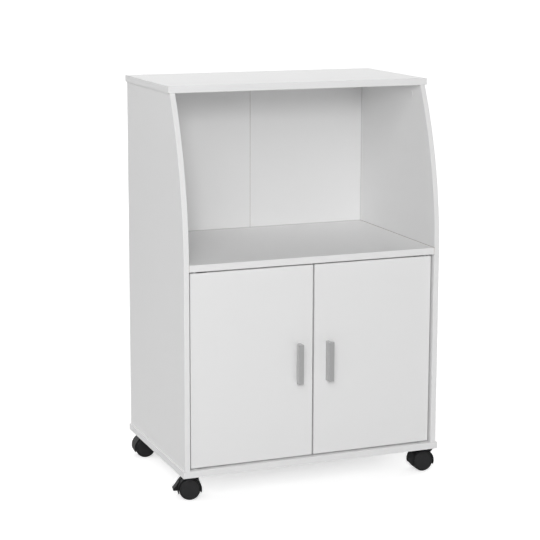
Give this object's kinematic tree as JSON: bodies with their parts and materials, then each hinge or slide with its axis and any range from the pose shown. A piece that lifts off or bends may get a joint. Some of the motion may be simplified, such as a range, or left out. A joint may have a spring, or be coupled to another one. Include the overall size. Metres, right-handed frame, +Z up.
{
  "type": "microwave cart",
  "caption": "White microwave cart with an open bay, curved side panels, a two-door cupboard with an adjustable shelf, bar handles and hooded twin-wheel swivel casters with brakes.",
  "frame": {"origin": "On the floor, below the middle of the overall outline.", "axes": "X is the width, to the right seen from the front; Y is the depth and the doors face -Y; Z is up."},
  "size_m": [0.6236, 0.4086, 0.89],
  "materials": {
    "white_melamine": "satin white melamine skin on particle board",
    "white_lacquer": "white lacquered hardboard",
    "white_plastic": "white moulded plastic",
    "silver_handle": "satin silver",
    "zinc_steel": "zinc plated steel",
    "black_steel": "black painted steel",
    "black_nylon": "black moulded nylon",
    "wood_dowel": "plain birch"
  },
  "bodies": {
    "cabinet": {"top_panel": "white_melamine", "left_side_panel": "white_melamine", "right_side_panel": "white_melamine", "bottom_panel": "white_melamine", "microwave_shelf": "white_melamine", "inner_shelf": "white_melamine", "shelf_pins": "zinc_steel", "left_back_leaf": "white_lacquer", "right_back_leaf": "white_lacquer", "back_fold_tape": "white_plastic", "back_nails": "zinc_steel", "cam_locks": "zinc_steel", "cam_bolts": "zinc_steel", "cam_caps": "white_plastic", "dowels": "wood_dowel", "bottom_screws": "zinc_steel", "pivot_bushes": "white_plastic", "magnetic_catch": "white_plastic", "catch_screws": "zinc_steel", "caster_screws": "zinc_steel", "front_left_caster_plate": "black_steel", "front_right_caster_plate": "black_steel", "back_left_caster_plate": "black_steel", "back_right_caster_plate": "black_steel"},
    "left_door_body": {"left_door": "white_melamine", "left_door_pivots": "zinc_steel", "left_door_handle": "silver_handle", "left_handle_screws": "zinc_steel", "left_strike_plate": "zinc_steel"},
    "right_door_body": {"right_door": "white_melamine", "right_door_pivots": "zinc_steel", "right_door_handle": "silver_handle", "right_handle_screws": "zinc_steel", "right_strike_plate": "zinc_steel"},
    "front_left_swivel": {"front_left_caster_hood": "black_nylon", "front_left_caster_axle": "zinc_steel"},
    "front_left_wheel_a_body": {"front_left_wheel_a": "black_nylon"},
    "front_left_wheel_b_body": {"front_left_wheel_b": "black_nylon"},
    "front_left_brake_body": {"front_left_brake_lever": "black_nylon"},
    "front_right_swivel": {"front_right_caster_hood": "black_nylon", "front_right_caster_axle": "zinc_steel"},
    "front_right_wheel_a_body": {"front_right_wheel_a": "black_nylon"},
    "front_right_wheel_b_body": {"front_right_wheel_b": "black_nylon"},
    "front_right_brake_body": {"front_right_brake_lever": "black_nylon"},
    "back_left_swivel": {"back_left_caster_hood": "black_nylon", "back_left_caster_axle": "zinc_steel"},
    "back_left_wheel_a_body": {"back_left_wheel_a": "black_nylon"},
    "back_left_wheel_b_body": {"back_left_wheel_b": "black_nylon"},
    "back_right_swivel": {"back_right_caster_hood": "black_nylon", "back_right_caster_axle": "zinc_steel"},
    "back_right_wheel_a_body": {"back_right_wheel_a": "black_nylon"},
    "back_right_wheel_b_body": {"back_right_wheel_b": "black_nylon"}
  },
  "joints": [
    {"name": "left_door_swing", "type": "hinge", "parent": "cabinet", "child": "left_door_body", "pos_m": [-0.2715, -0.1768, 0.074], "axis": [0, 0, -1], "range_deg": [0, 105]},
    {"name": "right_door_swing", "type": "hinge", "parent": "cabinet", "child": "right_door_body", "pos_m": [0.2715, -0.1768, 0.074], "axis": [0, 0, 1], "range_deg": [0, 105]},
    {"name": "front_left_caster_swivel", "type": "hinge", "parent": "cabinet", "child": "front_left_swivel", "pos_m": [-0.268, -0.1583, 0.0538], "axis": [0, 0, 1], "continuous": true},
    {"name": "front_left_wheel_a_roll", "type": "hinge", "parent": "front_left_swivel", "child": "front_left_wheel_a_body", "pos_m": [-0.27876, -0.15601, 0.023], "axis": [0.2079, 0.9781, 0], "continuous": true},
    {"name": "front_left_wheel_b_roll", "type": "hinge", "parent": "front_left_swivel", "child": "front_left_wheel_b_body", "pos_m": [-0.27876, -0.15601, 0.023], "axis": [0.2079, 0.9781, 0], "continuous": true},
    {"name": "front_left_brake_swing", "type": "hinge", "parent": "front_left_swivel", "child": "front_left_brake_body", "pos_m": [-0.27876, -0.15601, 0.023], "axis": [0.2079, 0.9781, 0], "range_deg": [0, 46]},
    {"name": "front_right_caster_swivel", "type": "hinge", "parent": "cabinet", "child": "front_right_swivel", "pos_m": [0.268, -0.1583, 0.0538], "axis": [0, 0, 1], "continuous": true},
    {"name": "front_right_wheel_a_roll", "type": "hinge", "parent": "front_right_swivel", "child": "front_right_wheel_a_body", "pos_m": [0.27899, -0.15868, 0.023], "axis": [-0.0349, -0.9994, 0], "continuous": true},
    {"name": "front_right_wheel_b_roll", "type": "hinge", "parent": "front_right_swivel", "child": "front_right_wheel_b_body", "pos_m": [0.27899, -0.15868, 0.023], "axis": [-0.0349, -0.9994, 0], "continuous": true},
    {"name": "front_right_brake_swing", "type": "hinge", "parent": "front_right_swivel", "child": "front_right_brake_body", "pos_m": [0.27899, -0.15868, 0.023], "axis": [-0.0349, -0.9994, 0], "range_deg": [-46, 0]},
    {"name": "back_left_caster_swivel", "type": "hinge", "parent": "cabinet", "child": "back_left_swivel", "pos_m": [-0.268, 0.1647, 0.0538], "axis": [0, 0, 1], "continuous": true},
    {"name": "back_left_wheel_a_roll", "type": "hinge", "parent": "back_left_swivel", "child": "back_left_wheel_a_body", "pos_m": [-0.27894, 0.16585, 0.023], "axis": [0.1045, 0.9945, 0], "continuous": true},
    {"name": "back_left_wheel_b_roll", "type": "hinge", "parent": "back_left_swivel", "child": "back_left_wheel_b_body", "pos_m": [-0.27894, 0.16585, 0.023], "axis": [0.1045, 0.9945, 0], "continuous": true},
    {"name": "back_right_caster_swivel", "type": "hinge", "parent": "cabinet", "child": "back_right_swivel", "pos_m": [0.268, 0.1647, 0.0538], "axis": [0, 0, 1], "continuous": true},
    {"name": "back_right_wheel_a_roll", "type": "hinge", "parent": "back_right_swivel", "child": "back_right_wheel_a_body", "pos_m": [0.27889, 0.16317, 0.023], "axis": [-0.1392, -0.9903, 0], "continuous": true},
    {"name": "back_right_wheel_b_roll", "type": "hinge", "parent": "back_right_swivel", "child": "back_right_wheel_b_body", "pos_m": [0.27889, 0.16317, 0.023], "axis": [-0.1392, -0.9903, 0], "continuous": true}
  ]
}
